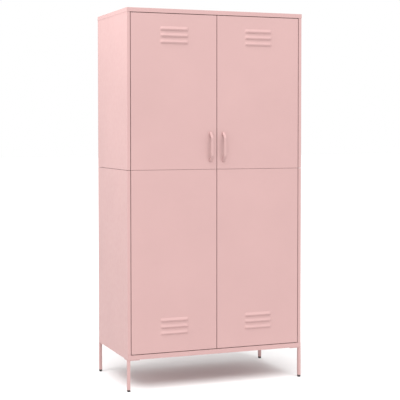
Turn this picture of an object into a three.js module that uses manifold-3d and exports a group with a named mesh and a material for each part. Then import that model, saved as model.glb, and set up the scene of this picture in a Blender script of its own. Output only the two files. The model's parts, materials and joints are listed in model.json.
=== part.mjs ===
// A two-door steel locker cabinet on four tube legs, folded from sheet steel and bolted together.
// Millimetres, +Z up, doors facing -Y. The origin is on the floor, under the middle of the object.

import * as THREE from "three";
import { ConvexGeometry } from "three/addons/geometries/ConvexGeometry.js";
import { mergeVertices } from "three/addons/utils/BufferGeometryUtils.js";
import Module from "manifold-3d";

const wasm = await Module();
wasm.setup();

// ---------------------------------------------------------------- driving dimensions

const WIDTH = 900;
const DEPTH = 500; // front rail to rear rail, without the handles
const HEIGHT = 1800;
const UNDERSIDE = 150; // height of the body above the floor
const SEAM = 1042; // height where the upper panels meet the lower panels

const SHEET = 0.8; // steel sheet
const FIT = 0.3; // clearance between sheets that lie against each other
const SEAM_GAP = 1.2; // groove between an upper panel and a lower panel

const TOP_RAIL = 20; // turned-down edge of the top panel
const BOTTOM_RAIL = 22; // turned-up edge of the bottom panel
const RAIL_LIP = 36; // how far the front rails fold back over the doorway
const RAIL_HEM = 10;
const STILE = 16; // outer face of the cabinet to the doorway
const POST_DEPTH = 42; // depth of the folded corner posts
const POST_HEM = 10;
const SEAM_FLANGE = 13;

const DOOR_GAP = 3;
const DOOR_THICKNESS = 18;
const DOOR_LIP = 14;

const HINGE_INSET = 16; // hinge axis to the door's outer edge
const HINGE_SETBACK = 6; // hinge axis to the door's front face
const PIN_RADIUS = 2.5;

const LOUVRE_LENGTH = 148;
const LOUVRE_HEIGHT = 14;
const LOUVRE_REACH = 6;
const LOUVRE_TAPER = 12;
const LOUVRE_PITCH = 30.5;
const LOUVRES_PER_GROUP = 3;
const UPPER_LOUVRES = 1643; // lip of the lowest louvre in the upper group
const LOWER_LOUVRES = 265;

const HANDLE_X = 33; // handle centre line to the middle of the cabinet
const HANDLE_BOTTOM = 36; // handle's lower end above the seam
const HANDLE_LENGTH = 144;
const HANDLE_WIDTH = 12;
const HANDLE_REACH = 27;
const HANDLE_THICKNESS = 4;
const HANDLE_FOOT = 12;
const HANDLE_LEG = 27; // length that each slanted end takes up
const HANDLE_BEND = 7;
const HANDLE_EDGE = 1; // rounding of the bar's edges
const HANDLE_SCREW_RADIUS = 2;
const HANDLE_SCREW_REACH = 4.2; // depth of the screw in the handle's foot

const LEG_WIDTH = 13;
const LEG_DEPTH = 18;
const LEG_WALL = 1.5;
const LEG_PLATE = 60;
const LEG_PLATE_THICKNESS = 2.5;
const LEG_STUD_INSET = 38;
const LEG_STUD_RADIUS = 3;
const GLIDE_HEIGHT = 10;
const GLIDE_INSET = 0.4; // how much smaller the glide is than the tube, on each face
const GLIDE_ROUNDING = 2;
const GLIDE_PLUG = 18;

const SHELF_TOP = 1470;
const SHELF_FRONT = 44;
const SHELF_EDGE = 25;
const SHELF_SIDE_EDGE = 12;
const CLIP_WIDTH = 13;
const CLIP_REACH = 15;
const CLIP_DROP = 14;
const CLIP_SHEET = 1.2;
const SLOT_HEIGHT = 9.5;
const SLOT_WIDTH = 8.6;
const SLOT_PITCH = 60;
const SLOTS_EACH_WAY = 2; // spare shelf positions above and below

const RAIL_RADIUS = 12.5;
const RAIL_WALL = 1.2;
const RAIL_DROP = 48; // shelf top to the centre of the clothes rail
const RAIL_HALF_LENGTH = 404;
const RAIL_BRACKET_X = 396;
const RAIL_BRACKET_WIDTH = 34;
const RAIL_BRACKET_SHEET = 3;

const SCREW_RADIUS = 2.5;
const SCREW_HEAD_RADIUS = 4.5;
const SCREW_HEAD_HEIGHT = 2.6;

// ---------------------------------------------------------------- places worked out from them

const HALF = WIDTH / 2;
const NEST = SHEET + FIT; // offset of one sheet tucked inside another
const SIDE_FACE = HALF - NEST; // outer face of a side panel
const POST_X = HALF - STILE; // inner face of a corner post
const FRAME_FACE = NEST; // front face of the stiles and of the doors
const PANEL_BACK = DEPTH - 2 * NEST; // rear face of the side panels
const BODY_BOTTOM = UNDERSIDE + NEST;
const BODY_TOP = HEIGHT - NEST;
const DOORWAY_BOTTOM = UNDERSIDE + BOTTOM_RAIL;
const DOORWAY_TOP = HEIGHT - TOP_RAIL;
const LOWER_TOP = SEAM - SEAM_GAP / 2;
const UPPER_BOTTOM = SEAM + SEAM_GAP / 2;
const DOOR_EDGE = POST_X - DOOR_GAP;
const DOOR_BOTTOM = DOORWAY_BOTTOM + DOOR_GAP;
const DOOR_TOP = DOORWAY_TOP - DOOR_GAP;
const DOOR_BACK = FRAME_FACE + DOOR_THICKNESS;
const DOOR_MIDDLE = (DOOR_EDGE + DOOR_GAP / 2) / 2;
const HINGE_X = DOOR_EDGE - HINGE_INSET;
const HINGE_Y = FRAME_FACE + HINGE_SETBACK;
const HANDLE_FRONT = FRAME_FACE - HANDLE_REACH;
const HANDLE_MIDDLE = SEAM + HANDLE_BOTTOM + HANDLE_LENGTH / 2;
const HANDLE_SCREW_Z = HANDLE_LENGTH / 2 - HANDLE_FOOT / 2;
const CLIP_Z = SHELF_TOP - SHELF_SIDE_EDGE - FIT; // top of the shelf clips
const CLIP_INSET = 8; // clip centre to the far edge of its post
const FRONT_CLIP_Y = FRAME_FACE + POST_DEPTH - CLIP_INSET;
const REAR_CLIP_Y = PANEL_BACK - POST_DEPTH + CLIP_INSET;
const RAIL_Y = (SHELF_FRONT + PANEL_BACK) / 2;
const RAIL_Z = SHELF_TOP - RAIL_DROP;

// The rails' front face stands this far from the origin, so that the origin is under the middle
// of the body and its handles together.
const FRONT_Y = -(DEPTH + HANDLE_FRONT) / 2;

// ---------------------------------------------------------------- materials

const finish = (color, roughness, metalness) =>
  new THREE.MeshStandardMaterial({ color, roughness, metalness });
const paintedSteel = () => finish(0xe5bcba, 0.5, 0);
const zincSteel = () => finish(0xb9bcc0, 0.35, 0.9);
const chromedSteel = () => finish(0xd9dcdf, 0.12, 1);
const whiteNylon = () => finish(0xe9e6de, 0.55, 0);
const blackPlastic = () => finish(0x211c1c, 0.6, 0);
const greyRubber = () => finish(0x5a5a5c, 0.85, 0);

// ---------------------------------------------------------------- solids

// A three.js geometry as a solid that can be joined and cut.
function solidFrom(geometry) {
  geometry.deleteAttribute("normal");
  geometry.deleteAttribute("uv");
  const merged = mergeVertices(geometry, 1e-4);
  const vertProperties = new Float32Array(merged.attributes.position.array);
  const triVerts = new Uint32Array(merged.index.array);
  return new wasm.Manifold(new wasm.Mesh({ numProp: 3, vertProperties, triVerts }));
}

// A block between two limits on each axis, which may be given in either order.
function slab(xs, ys, zs) {
  const geometry = new THREE.BoxGeometry();
  const corners = geometry.attributes.position;
  [xs, ys, zs].forEach((limits, axis) => {
    for (let corner = 0; corner < corners.count; corner += 1) {
      const low = corners.getComponent(corner, axis) < 0;
      corners.setComponent(corner, axis, low ? Math.min(...limits) : Math.max(...limits));
    }
  });
  return solidFrom(geometry);
}

// A round bar between two points.
function rod(radius, from, to, sides = 12) {
  const start = new THREE.Vector3(...from);
  const along = new THREE.Vector3(...to).sub(start);
  const geometry = new THREE.CylinderGeometry(radius, radius, along.length(), sides);
  const up = new THREE.Vector3(0, 1, 0);
  const turn = new THREE.Quaternion().setFromUnitVectors(up, along.clone().normalize());
  const middle = start.addScaledVector(along, 0.5);
  geometry.applyQuaternion(turn);
  geometry.translate(middle.x, middle.y, middle.z);
  return solidFrom(geometry);
}

// A solid of revolution about a vertical axis, from points of [radius, height] taken upwards.
function turned(points, x, y, sides = 16) {
  const profile = points.map(([radius, height]) => new THREE.Vector2(radius, height));
  const geometry = new THREE.LatheGeometry(profile, sides);
  geometry.rotateX(Math.PI / 2);
  geometry.translate(x, y, 0);
  return solidFrom(geometry);
}

const join = (solids) => solids.reduce((whole, solid) => whole.add(solid));
const cut = (solid, tools) => tools.reduce((rest, tool) => rest.subtract(tool), solid);

// ---------------------------------------------------------------- the assembly

// Sheets joined face to face leave slivers as thin as the rounding of 32-bit numbers. They are
// merged away as each piece is finished.
const ROUNDING_SLIVER = 0.01;

const cabinet = new THREE.Group();
cabinet.position.y = FRONT_Y;

function addPiece(name, solid, material) {
  const { vertProperties, triVerts } = solid.asOriginal().simplify(ROUNDING_SLIVER).getMesh();
  const geometry = new THREE.BufferGeometry();
  geometry.setAttribute("position", new THREE.BufferAttribute(vertProperties, 3));
  geometry.setIndex(new THREE.BufferAttribute(triVerts, 1));
  geometry.computeVertexNormals();
  material.flatShading = true;
  const mesh = new THREE.Mesh(geometry, material);
  mesh.name = name;
  cabinet.add(mesh);
}

const SIDES = [
  ["left", -1],
  ["right", 1],
];
const ENDS = [
  ["front", 0],
  ["rear", 1],
];

// ---------------------------------------------------------------- top and bottom panels

// A shallow tray that fits over the top of the walls, with a rail on every edge.
function topTray() {
  const rail = [DOORWAY_TOP, HEIGHT];
  return join([
    slab([-HALF, HALF], [0, DEPTH], [HEIGHT - SHEET, HEIGHT]),
    slab([-HALF, HALF], [0, SHEET], rail),
    slab([-HALF, HALF], [DEPTH - SHEET, DEPTH], rail),
    slab([-HALF, -HALF + SHEET], [0, DEPTH], rail),
    slab([HALF - SHEET, HALF], [0, DEPTH], rail),
  ]);
}

// The tray under the walls. Its front and rear rails stand outside the corner posts, and its side
// rails run inside the side panels, which come down to its underside.
function bottomTray() {
  const half = SIDE_FACE - SHEET - FIT;
  const rail = [UNDERSIDE, DOORWAY_BOTTOM];
  const betweenPosts = [FRAME_FACE + SHEET + FIT, PANEL_BACK - SHEET - FIT];
  return join([
    slab([-half, half], [0, DEPTH], [UNDERSIDE, UNDERSIDE + SHEET]),
    slab([-SIDE_FACE, SIDE_FACE], [0, SHEET], rail),
    slab([-SIDE_FACE, SIDE_FACE], [DEPTH - SHEET, DEPTH], rail),
    slab([-half, -half + SHEET], betweenPosts, rail),
    slab([half - SHEET, half], betweenPosts, rail),
  ]);
}

const LIP_HALF = POST_X - FIT;

// The lip over or under the doorway, between the corner posts, with a hem on its rear edge.
// "away" is the direction from the doorway.
function doorwayLip(front, edge, away) {
  return join([
    slab([-LIP_HALF, LIP_HALF], [front, RAIL_LIP], [edge, edge + away * SHEET]),
    slab([-LIP_HALF, LIP_HALF], [RAIL_LIP - SHEET, RAIL_LIP], [edge, edge + away * RAIL_HEM]),
  ]);
}

function hingePinHoles(edge) {
  return SIDES.map(([, side]) =>
    rod(PIN_RADIUS + FIT, [side * HINGE_X, HINGE_Y, edge - 3], [side * HINGE_X, HINGE_Y, edge + 3]),
  );
}

function legStudPlaces() {
  return SIDES.flatMap(([, side]) =>
    [LEG_STUD_INSET, DEPTH - LEG_STUD_INSET].map((y) => [side * (HALF - LEG_STUD_INSET), y]),
  );
}

const topPanel = join([topTray(), doorwayLip(0, DOORWAY_TOP, 1)]);
addPiece("top_panel", cut(topPanel, hingePinHoles(DOORWAY_TOP)), paintedSteel());

const studHoles = legStudPlaces().map(([x, y]) =>
  rod(LEG_STUD_RADIUS + FIT, [x, y, UNDERSIDE - 2], [x, y, UNDERSIDE + 3]),
);
addPiece("bottom_panel", cut(bottomTray(), studHoles), paintedSteel());

// A channel inside the bottom panel's front rail, which carries the doors' lower hinge pins.
const hingeRail = join([
  slab([-LIP_HALF, LIP_HALF], [NEST, NEST + SHEET], [BODY_BOTTOM, DOORWAY_BOTTOM]),
  doorwayLip(NEST, DOORWAY_BOTTOM, -1),
]);
addPiece("bottom_hinge_rail", cut(hingeRail, hingePinHoles(DOORWAY_BOTTOM)), paintedSteel());

// ---------------------------------------------------------------- side panels

const SEAM_SCREW_YS = [120, 380];
const SIDE_SCREW_X = (POST_X + SIDE_FACE) / 2;

// A corner post folded on the edge of a side panel: "face" is its outer face and "inward" the
// direction, along Y, in which it folds back into the cabinet.
function cornerPost(side, face, inward, heights) {
  const deep = face + inward * POST_DEPTH;
  return join([
    slab([side * POST_X, side * SIDE_FACE], [face, face + inward * SHEET], heights),
    slab([side * POST_X, side * (POST_X + SHEET)], [face, deep], heights),
    slab([side * POST_X, side * (POST_X + POST_HEM)], [deep - inward * SHEET, deep], heights),
  ]);
}

function seamScrewHoles(x) {
  return SEAM_SCREW_YS.map((y) => rod(SCREW_RADIUS + FIT, [x, y, SEAM - 5], [x, y, SEAM + 5]));
}

// Slots in the posts of an upper side panel, where the shelf clips hook in.
function clipSlots(side) {
  const slots = [];
  for (let step = -SLOTS_EACH_WAY; step <= SLOTS_EACH_WAY; step += 1) {
    const top = CLIP_Z + step * SLOT_PITCH;
    for (const y of [FRONT_CLIP_Y, REAR_CLIP_Y]) {
      const across = [side * (POST_X - 1), side * (POST_X + SHEET + 1)];
      const wide = [y - SLOT_WIDTH / 2, y + SLOT_WIDTH / 2];
      slots.push(slab(across, wide, [top - SLOT_HEIGHT, top]));
    }
  }
  return slots;
}

function sidePanel(side, bottom, top, seamEdge) {
  const heights = [bottom, top];
  const wallBottom = bottom === BODY_BOTTOM ? UNDERSIDE : bottom;
  const foldAway = seamEdge === bottom ? SHEET : -SHEET;
  const flangeDeep = [
    FRAME_FACE + POST_DEPTH + FIT,
    PANEL_BACK - POST_DEPTH - FIT,
  ];
  const flangeWide = [side * (SIDE_FACE - SEAM_FLANGE), side * SIDE_FACE];
  const panel = join([
    slab([side * (SIDE_FACE - SHEET), side * SIDE_FACE], [FRAME_FACE, PANEL_BACK], [wallBottom, top]),
    cornerPost(side, FRAME_FACE, 1, heights),
    cornerPost(side, PANEL_BACK, -1, heights),
    slab(flangeWide, flangeDeep, [seamEdge, seamEdge + foldAway]),
  ]);
  return cut(panel, seamScrewHoles(side * SIDE_SCREW_X));
}

for (const [label, side] of SIDES) {
  const upper = sidePanel(side, UPPER_BOTTOM, BODY_TOP, UPPER_BOTTOM);
  addPiece(`${label}_side_upper`, cut(upper, clipSlots(side)), paintedSteel());
  addPiece(`${label}_side_lower`, sidePanel(side, BODY_BOTTOM, LOWER_TOP, LOWER_TOP), paintedSteel());
}

// ---------------------------------------------------------------- back panels

function backPanel(bottom, top, seamEdge) {
  const outer = [PANEL_BACK + FIT, PANEL_BACK + NEST];
  const foldAway = seamEdge === bottom ? SHEET : -SHEET;
  const flangeHalf = POST_X - FIT;
  const flangeDeep = [outer[1] - SEAM_FLANGE, outer[1]];
  return join([
    slab([-SIDE_FACE, SIDE_FACE], outer, [bottom, top]),
    slab([-flangeHalf, flangeHalf], flangeDeep, [seamEdge, seamEdge + foldAway]),
  ]);
}

addPiece("back_upper", backPanel(UPPER_BOTTOM, BODY_TOP, UPPER_BOTTOM), paintedSteel());
addPiece("back_lower", backPanel(BODY_BOTTOM, LOWER_TOP, LOWER_TOP), paintedSteel());

// ---------------------------------------------------------------- seam screws

// A screw pushed up through two flanges that meet at the seam, with its head on top.
function seamScrew(x, y) {
  const seat = UPPER_BOTTOM + SHEET + FIT;
  return join([
    rod(SCREW_HEAD_RADIUS, [x, y, seat], [x, y, seat + SCREW_HEAD_HEIGHT]),
    rod(SCREW_RADIUS, [x, y, LOWER_TOP - 9], [x, y, seat + 1]),
  ]);
}

for (const [label, side] of SIDES) {
  SEAM_SCREW_YS.forEach((y, index) => {
    const place = ENDS[index][0];
    addPiece(`${label}_side_screw_${place}`, seamScrew(side * SIDE_SCREW_X, y), zincSteel());
  });
}

// ---------------------------------------------------------------- legs and glides

function leg(side, end) {
  const outerX = side * HALF;
  const outerY = end * DEPTH;
  const inX = -side;
  const inY = end === 0 ? 1 : -1;
  const tubeTop = UNDERSIDE - FIT;
  const box = (inset, heights) =>
    slab(
      [outerX + inX * inset, outerX + inX * (LEG_WIDTH - inset)],
      [outerY + inY * inset, outerY + inY * (LEG_DEPTH - inset)],
      heights,
    );
  const plate = slab(
    [outerX, outerX + inX * LEG_PLATE],
    [outerY, outerY + inY * LEG_PLATE],
    [tubeTop - LEG_PLATE_THICKNESS, tubeTop],
  );
  const tube = cut(box(0, [GLIDE_HEIGHT, tubeTop]), [
    box(LEG_WALL, [GLIDE_HEIGHT - 1, tubeTop - LEG_PLATE_THICKNESS]),
  ]);
  const studX = outerX + inX * LEG_STUD_INSET;
  const studY = outerY + inY * LEG_STUD_INSET;
  const stud = rod(LEG_STUD_RADIUS, [studX, studY, tubeTop - 1], [studX, studY, UNDERSIDE + 12]);
  return join([tube, plate, stud]);
}

// A flanged hexagon nut that holds a leg's stud from inside the cabinet.
function legNut(side, end) {
  const x = side * (HALF - LEG_STUD_INSET);
  const y = end === 0 ? LEG_STUD_INSET : DEPTH - LEG_STUD_INSET;
  const seat = UNDERSIDE + SHEET + FIT;
  const nut = join([
    rod(7, [x, y, seat], [x, y, seat + 1.2]),
    rod(5.8, [x, y, seat + 1], [x, y, seat + 6], 6),
  ]);
  return cut(nut, [rod(LEG_STUD_RADIUS + FIT, [x, y, seat - 1], [x, y, seat + 8])]);
}

// A moulded glide: a foot the shape of the tube, with rounded edges, and a plug that fills the tube.
function glide(side, end) {
  const centreX = side * (HALF - LEG_WIDTH / 2);
  const centreY = end === 0 ? LEG_DEPTH / 2 : DEPTH - LEG_DEPTH / 2;
  const half = [LEG_WIDTH / 2 - GLIDE_INSET, LEG_DEPTH / 2 - GLIDE_INSET];
  const corners = [];
  for (const [height, shrink] of [
    [0, GLIDE_ROUNDING],
    [GLIDE_ROUNDING * 0.3, GLIDE_ROUNDING * 0.3],
    [GLIDE_ROUNDING, 0],
    [GLIDE_HEIGHT - FIT, 0],
  ]) {
    const x = half[0] - shrink;
    const y = half[1] - shrink;
    for (const [signX, signY] of [[1, 1], [1, -1], [-1, 1], [-1, -1]]) {
      corners.push(new THREE.Vector3(signX * (x - 1), signY * y, height));
      corners.push(new THREE.Vector3(signX * x, signY * (y - 1), height));
    }
  }
  const foot = new ConvexGeometry(corners);
  foot.translate(centreX, centreY, 0);
  const plugHalfX = LEG_WIDTH / 2 - LEG_WALL - FIT;
  const plugHalfY = LEG_DEPTH / 2 - LEG_WALL - FIT;
  const plug = slab(
    [centreX - plugHalfX, centreX + plugHalfX],
    [centreY - plugHalfY, centreY + plugHalfY],
    [GLIDE_HEIGHT - 1, GLIDE_HEIGHT + GLIDE_PLUG],
  );
  return join([solidFrom(foot), plug]);
}

for (const [label, side] of SIDES) {
  for (const [place, end] of ENDS) {
    addPiece(`${place}_${label}_leg`, leg(side, end), paintedSteel());
    addPiece(`${place}_${label}_leg_nut`, legNut(side, end), zincSteel());
    addPiece(`${place}_${label}_glide`, glide(side, end), blackPlastic());
  }
}

// ---------------------------------------------------------------- doors

// The hood and the mouth of one louvre, with its lip at a height: the hood is a wedge that leans out
// of the sheet, and the mouth is the same wedge moved in by the sheet's thickness.
function louvreWedge(x, lip, inset, drop) {
  const half = LOUVRE_LENGTH / 2 - inset;
  const root = FRAME_FACE + SHEET + inset;
  const front = FRAME_FACE - LOUVRE_REACH + inset;
  const top = lip + LOUVRE_HEIGHT;
  const bottom = lip - drop;
  const points = [
    [half, root, top],
    [half, root, bottom],
    [half - LOUVRE_TAPER, front, lip],
    [half - LOUVRE_TAPER, front, bottom],
  ];
  const corners = points.flatMap(([across, y, z]) => [
    new THREE.Vector3(x + across, y, z),
    new THREE.Vector3(x - across, y, z),
  ]);
  return solidFrom(new ConvexGeometry(corners));
}

function doorPanel(side, bottom, top, firstLouvre) {
  const outer = side * DOOR_EDGE;
  const inner = side * (DOOR_GAP / 2);
  const across = [outer, inner];
  const deep = [FRAME_FACE, DOOR_BACK];
  const heights = [bottom, top];
  const lipDeep = [DOOR_BACK - SHEET, DOOR_BACK];
  const tray = join([
    slab(across, [FRAME_FACE, FRAME_FACE + SHEET], heights),
    slab([outer, outer - side * SHEET], deep, heights),
    slab([inner, inner + side * SHEET], deep, heights),
    slab(across, deep, [bottom, bottom + SHEET]),
    slab(across, deep, [top - SHEET, top]),
    slab([outer, outer - side * DOOR_LIP], lipDeep, heights),
    slab([inner, inner + side * DOOR_LIP], lipDeep, heights),
  ]);
  const steps = [...Array(LOUVRES_PER_GROUP).keys()];
  const lips = steps.map((step) => firstLouvre + step * LOUVRE_PITCH);
  const hoods = lips.map((lip) => louvreWedge(side * DOOR_MIDDLE, lip, 0, 0));
  const mouths = lips.map((lip) => louvreWedge(side * DOOR_MIDDLE, lip, SHEET, 0.5));
  return cut(join([tray, ...hoods]), mouths);
}

function verticalHole(radius, x, y, z) {
  return rod(radius, [x, y, z - 3], [x, y, z + 3]);
}

const DOOR_SCREW_Y = FRAME_FACE + DOOR_THICKNESS / 2;
const DOOR_SCREW_INSETS = { hinge: 60, centre: 360 }; // from the door's outer edge
const BUSH_RADIUS = 4;

function doorSeamHoles(side) {
  return Object.values(DOOR_SCREW_INSETS).map((inset) =>
    verticalHole(SCREW_RADIUS + FIT, side * (DOOR_EDGE - inset), DOOR_SCREW_Y, SEAM),
  );
}

function handleScrewHoles(side) {
  return [-1, 1].map((end) => {
    const z = HANDLE_MIDDLE + end * HANDLE_SCREW_Z;
    const x = side * HANDLE_X;
    return rod(HANDLE_SCREW_RADIUS + FIT, [x, FRAME_FACE - 1, z], [x, FRAME_FACE + 2, z]);
  });
}

for (const [label, side] of SIDES) {
  const hingeX = side * HINGE_X;
  const upper = cut(doorPanel(side, UPPER_BOTTOM, DOOR_TOP, UPPER_LOUVRES), [
    ...doorSeamHoles(side),
    ...handleScrewHoles(side),
    verticalHole(BUSH_RADIUS + FIT, hingeX, HINGE_Y, DOOR_TOP),
  ]);
  const lower = cut(doorPanel(side, DOOR_BOTTOM, LOWER_TOP, LOWER_LOUVRES), [
    ...doorSeamHoles(side),
    verticalHole(BUSH_RADIUS + FIT, hingeX, HINGE_Y, DOOR_BOTTOM),
  ]);
  addPiece(`${label}_door_upper`, upper, paintedSteel());
  addPiece(`${label}_door_lower`, lower, paintedSteel());
  for (const [place, inset] of Object.entries(DOOR_SCREW_INSETS)) {
    const screw = seamScrew(side * (DOOR_EDGE - inset), DOOR_SCREW_Y);
    addPiece(`${label}_door_screw_${place}`, screw, zincSteel());
  }
}

// ---------------------------------------------------------------- hinges

const BUSH_COLLAR_RADIUS = 5.5;
const BUSH_COLLAR = 1.3;
const PIN_COLLAR_RADIUS = 5;
const PIN_COLLAR = 0.7;
const PIN_LENGTH = 16; // into the door, from the rail's face
const PIN_HEAD = 3;

// Hinge parts at the bottom of a door are made upwards from the rail's face at height "rail"; the
// same parts at the top are turned over, so that "up" is -1.
function hingePart(points, x, rail, up) {
  const heights = points.map(([radius, height]) => [radius, rail + up * height]);
  return turned(up > 0 ? heights : heights.reverse(), x, HINGE_Y);
}

const PIN_PROFILE = [
  [0, -SHEET - FIT - PIN_HEAD],
  [4, -SHEET - FIT - PIN_HEAD],
  [4, -SHEET - FIT],
  [PIN_RADIUS, -SHEET - FIT],
  [PIN_RADIUS, FIT],
  [PIN_COLLAR_RADIUS, FIT],
  [PIN_COLLAR_RADIUS, FIT + PIN_COLLAR],
  [PIN_RADIUS, FIT + PIN_COLLAR],
  [PIN_RADIUS, PIN_LENGTH - 1],
  [PIN_RADIUS - 1, PIN_LENGTH],
  [0, PIN_LENGTH],
];

const BUSH_BORE = PIN_RADIUS + 0.2;
const BUSH_TOP = DOOR_GAP + SHEET + 6;
const COLLAR_TOP = DOOR_GAP - FIT;
const BUSH_PROFILE = [
  [BUSH_BORE, COLLAR_TOP - BUSH_COLLAR],
  [BUSH_COLLAR_RADIUS, COLLAR_TOP - BUSH_COLLAR],
  [BUSH_COLLAR_RADIUS, COLLAR_TOP],
  [BUSH_RADIUS, COLLAR_TOP],
  [BUSH_RADIUS, BUSH_TOP],
  [BUSH_BORE, BUSH_TOP],
  [BUSH_BORE, COLLAR_TOP - BUSH_COLLAR],
];

for (const [label, side] of SIDES) {
  for (const [place, rail, up] of [
    ["top", DOORWAY_TOP, -1],
    ["bottom", DOORWAY_BOTTOM, 1],
  ]) {
    const x = side * HINGE_X;
    addPiece(`${label}_hinge_pin_${place}`, hingePart(PIN_PROFILE, x, rail, up), zincSteel());
    addPiece(`${label}_hinge_bush_${place}`, hingePart(BUSH_PROFILE, x, rail, up), blackPlastic());
  }
}

// ---------------------------------------------------------------- handles

// Half of the bar's outline, from its middle to the door, as [along the door, out from the door].
function handleOutline() {
  const end = HANDLE_LENGTH / 2;
  const gripEnd = end - HANDLE_LEG;
  const outer = HANDLE_REACH;
  const inner = HANDLE_REACH - HANDLE_THICKNESS;
  const innerEnd = gripEnd - HANDLE_THICKNESS / 2;
  const bendAlong = HANDLE_BEND * 0.7;
  const shape = new THREE.Shape();
  shape.moveTo(-end, 0);
  shape.lineTo(-end, HANDLE_THICKNESS * 0.7);
  shape.lineTo(-gripEnd - bendAlong, outer - bendAlong);
  shape.quadraticCurveTo(-gripEnd, outer, -gripEnd + HANDLE_BEND, outer);
  shape.lineTo(gripEnd - HANDLE_BEND, outer);
  shape.quadraticCurveTo(gripEnd, outer, gripEnd + bendAlong, outer - bendAlong);
  shape.lineTo(end, HANDLE_THICKNESS * 0.7);
  shape.lineTo(end, 0);
  shape.lineTo(end - HANDLE_FOOT, 0);
  shape.lineTo(innerEnd + bendAlong, inner - bendAlong);
  shape.quadraticCurveTo(innerEnd, inner, innerEnd - HANDLE_BEND, inner);
  shape.lineTo(-innerEnd + HANDLE_BEND, inner);
  shape.quadraticCurveTo(-innerEnd, inner, -innerEnd - bendAlong, inner - bendAlong);
  shape.lineTo(-end + HANDLE_FOOT, 0);
  shape.closePath();
  return shape;
}

// A bow handle cut from flat bar. It stands a sheet clearance off the door, and its feet take screws
// from inside the door.
function handle(side) {
  const geometry = new THREE.ExtrudeGeometry(handleOutline(), {
    depth: HANDLE_WIDTH - 2 * HANDLE_EDGE,
    bevelThickness: HANDLE_EDGE,
    bevelSize: HANDLE_EDGE,
    bevelOffset: -HANDLE_EDGE,
    bevelSegments: 2,
    curveSegments: 6,
  });
  geometry.translate(0, 0, HANDLE_EDGE - HANDLE_WIDTH / 2);
  // The outline's long direction becomes Z, its outward direction -Y and its thickness X.
  const turn = new THREE.Matrix4().makeBasis(
    new THREE.Vector3(0, 0, 1),
    new THREE.Vector3(0, -1, 0),
    new THREE.Vector3(1, 0, 0),
  );
  geometry.applyMatrix4(turn);
  geometry.translate(side * HANDLE_X, FRAME_FACE, HANDLE_MIDDLE);
  const bar = cut(solidFrom(geometry), [
    slab([-HALF, HALF], [FRAME_FACE - FIT, FRAME_FACE + 5], [HANDLE_MIDDLE - 200, HANDLE_MIDDLE + 200]),
  ]);
  const holes = [-1, 1].map((end) => {
    const x = side * HANDLE_X;
    const z = HANDLE_MIDDLE + end * HANDLE_SCREW_Z;
    const deepest = FRAME_FACE - HANDLE_SCREW_REACH - FIT;
    return rod(HANDLE_SCREW_RADIUS + FIT, [x, FRAME_FACE + 1, z], [x, deepest, z]);
  });
  return cut(bar, holes);
}

function handleScrew(side, z) {
  const x = side * HANDLE_X;
  const seat = FRAME_FACE + SHEET + FIT;
  return join([
    rod(SCREW_HEAD_RADIUS, [x, seat, z], [x, seat + SCREW_HEAD_HEIGHT, z]),
    rod(HANDLE_SCREW_RADIUS, [x, seat + 1, z], [x, FRAME_FACE - HANDLE_SCREW_REACH, z]),
  ]);
}

for (const [label, side] of SIDES) {
  addPiece(`${label}_handle`, handle(side), paintedSteel());
  for (const [place, end] of [["upper", 1], ["lower", -1]]) {
    const screw = handleScrew(side, HANDLE_MIDDLE + end * HANDLE_SCREW_Z);
    addPiece(`${label}_handle_screw_${place}`, screw, zincSteel());
  }
}

// ---------------------------------------------------------------- magnets and door stop

const MAGNET_X = [12, 57];
const MAGNET_DEPTH = 14;
const MAGNET_HEIGHT = 13;
const STOP_HALF = 45;
const STOP_HEIGHT = 20;
const STOP_SHEET = 1.5;
const BUFFER_RADIUS = 5;
const BUFFER_THICKNESS = 1.2;
const BUFFER_X = 25;

for (const [label, side] of SIDES) {
  const top = DOORWAY_TOP - FIT;
  const front = DOOR_BACK + FIT;
  const magnet = slab(
    MAGNET_X.map((x) => side * x),
    [front, front + MAGNET_DEPTH],
    [top - MAGNET_HEIGHT, top],
  );
  addPiece(`${label}_door_magnet`, magnet, whiteNylon());
}

// An angle on the bottom rail that both doors close against.
const stopFront = DOOR_BACK + 2 * FIT + BUFFER_THICKNESS;
const stopSeat = DOORWAY_BOTTOM + FIT;
const stopWide = [-STOP_HALF, STOP_HALF];
const doorStop = join([
  slab(stopWide, [stopFront, stopFront + STOP_SHEET], [stopSeat, stopSeat + STOP_HEIGHT]),
  slab(stopWide, [stopFront, RAIL_LIP], [stopSeat, stopSeat + STOP_SHEET]),
]);
addPiece("door_stop", doorStop, paintedSteel());

for (const [label, side] of SIDES) {
  const x = side * BUFFER_X;
  const z = stopSeat + STOP_HEIGHT / 2;
  const back = stopFront - FIT;
  const buffer = rod(BUFFER_RADIUS, [x, back - BUFFER_THICKNESS, z], [x, back, z]);
  addPiece(`${label}_door_buffer`, buffer, greyRubber());
}

// ---------------------------------------------------------------- shelf, clips and clothes rail

const shelfHalf = POST_X - 2 * FIT;
const shelfBack = PANEL_BACK - FIT;
const shelfDeep = [SHELF_FRONT, shelfBack];
const shelfWide = [-shelfHalf, shelfHalf];
const shelfEdgeHeights = [SHELF_TOP - SHELF_EDGE, SHELF_TOP];
const shelfSideHeights = [SHELF_TOP - SHELF_SIDE_EDGE, SHELF_TOP];
const shelf = join([
  slab(shelfWide, shelfDeep, [SHELF_TOP - SHEET, SHELF_TOP]),
  slab(shelfWide, [SHELF_FRONT, SHELF_FRONT + SHEET], shelfEdgeHeights),
  slab(shelfWide, [shelfBack - SHEET, shelfBack], shelfEdgeHeights),
  ...[-1, 1].map((side) =>
    slab([side * shelfHalf, side * (shelfHalf - SHEET)], shelfDeep, shelfSideHeights),
  ),
]);
addPiece("hat_shelf", shelf, paintedSteel());

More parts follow.
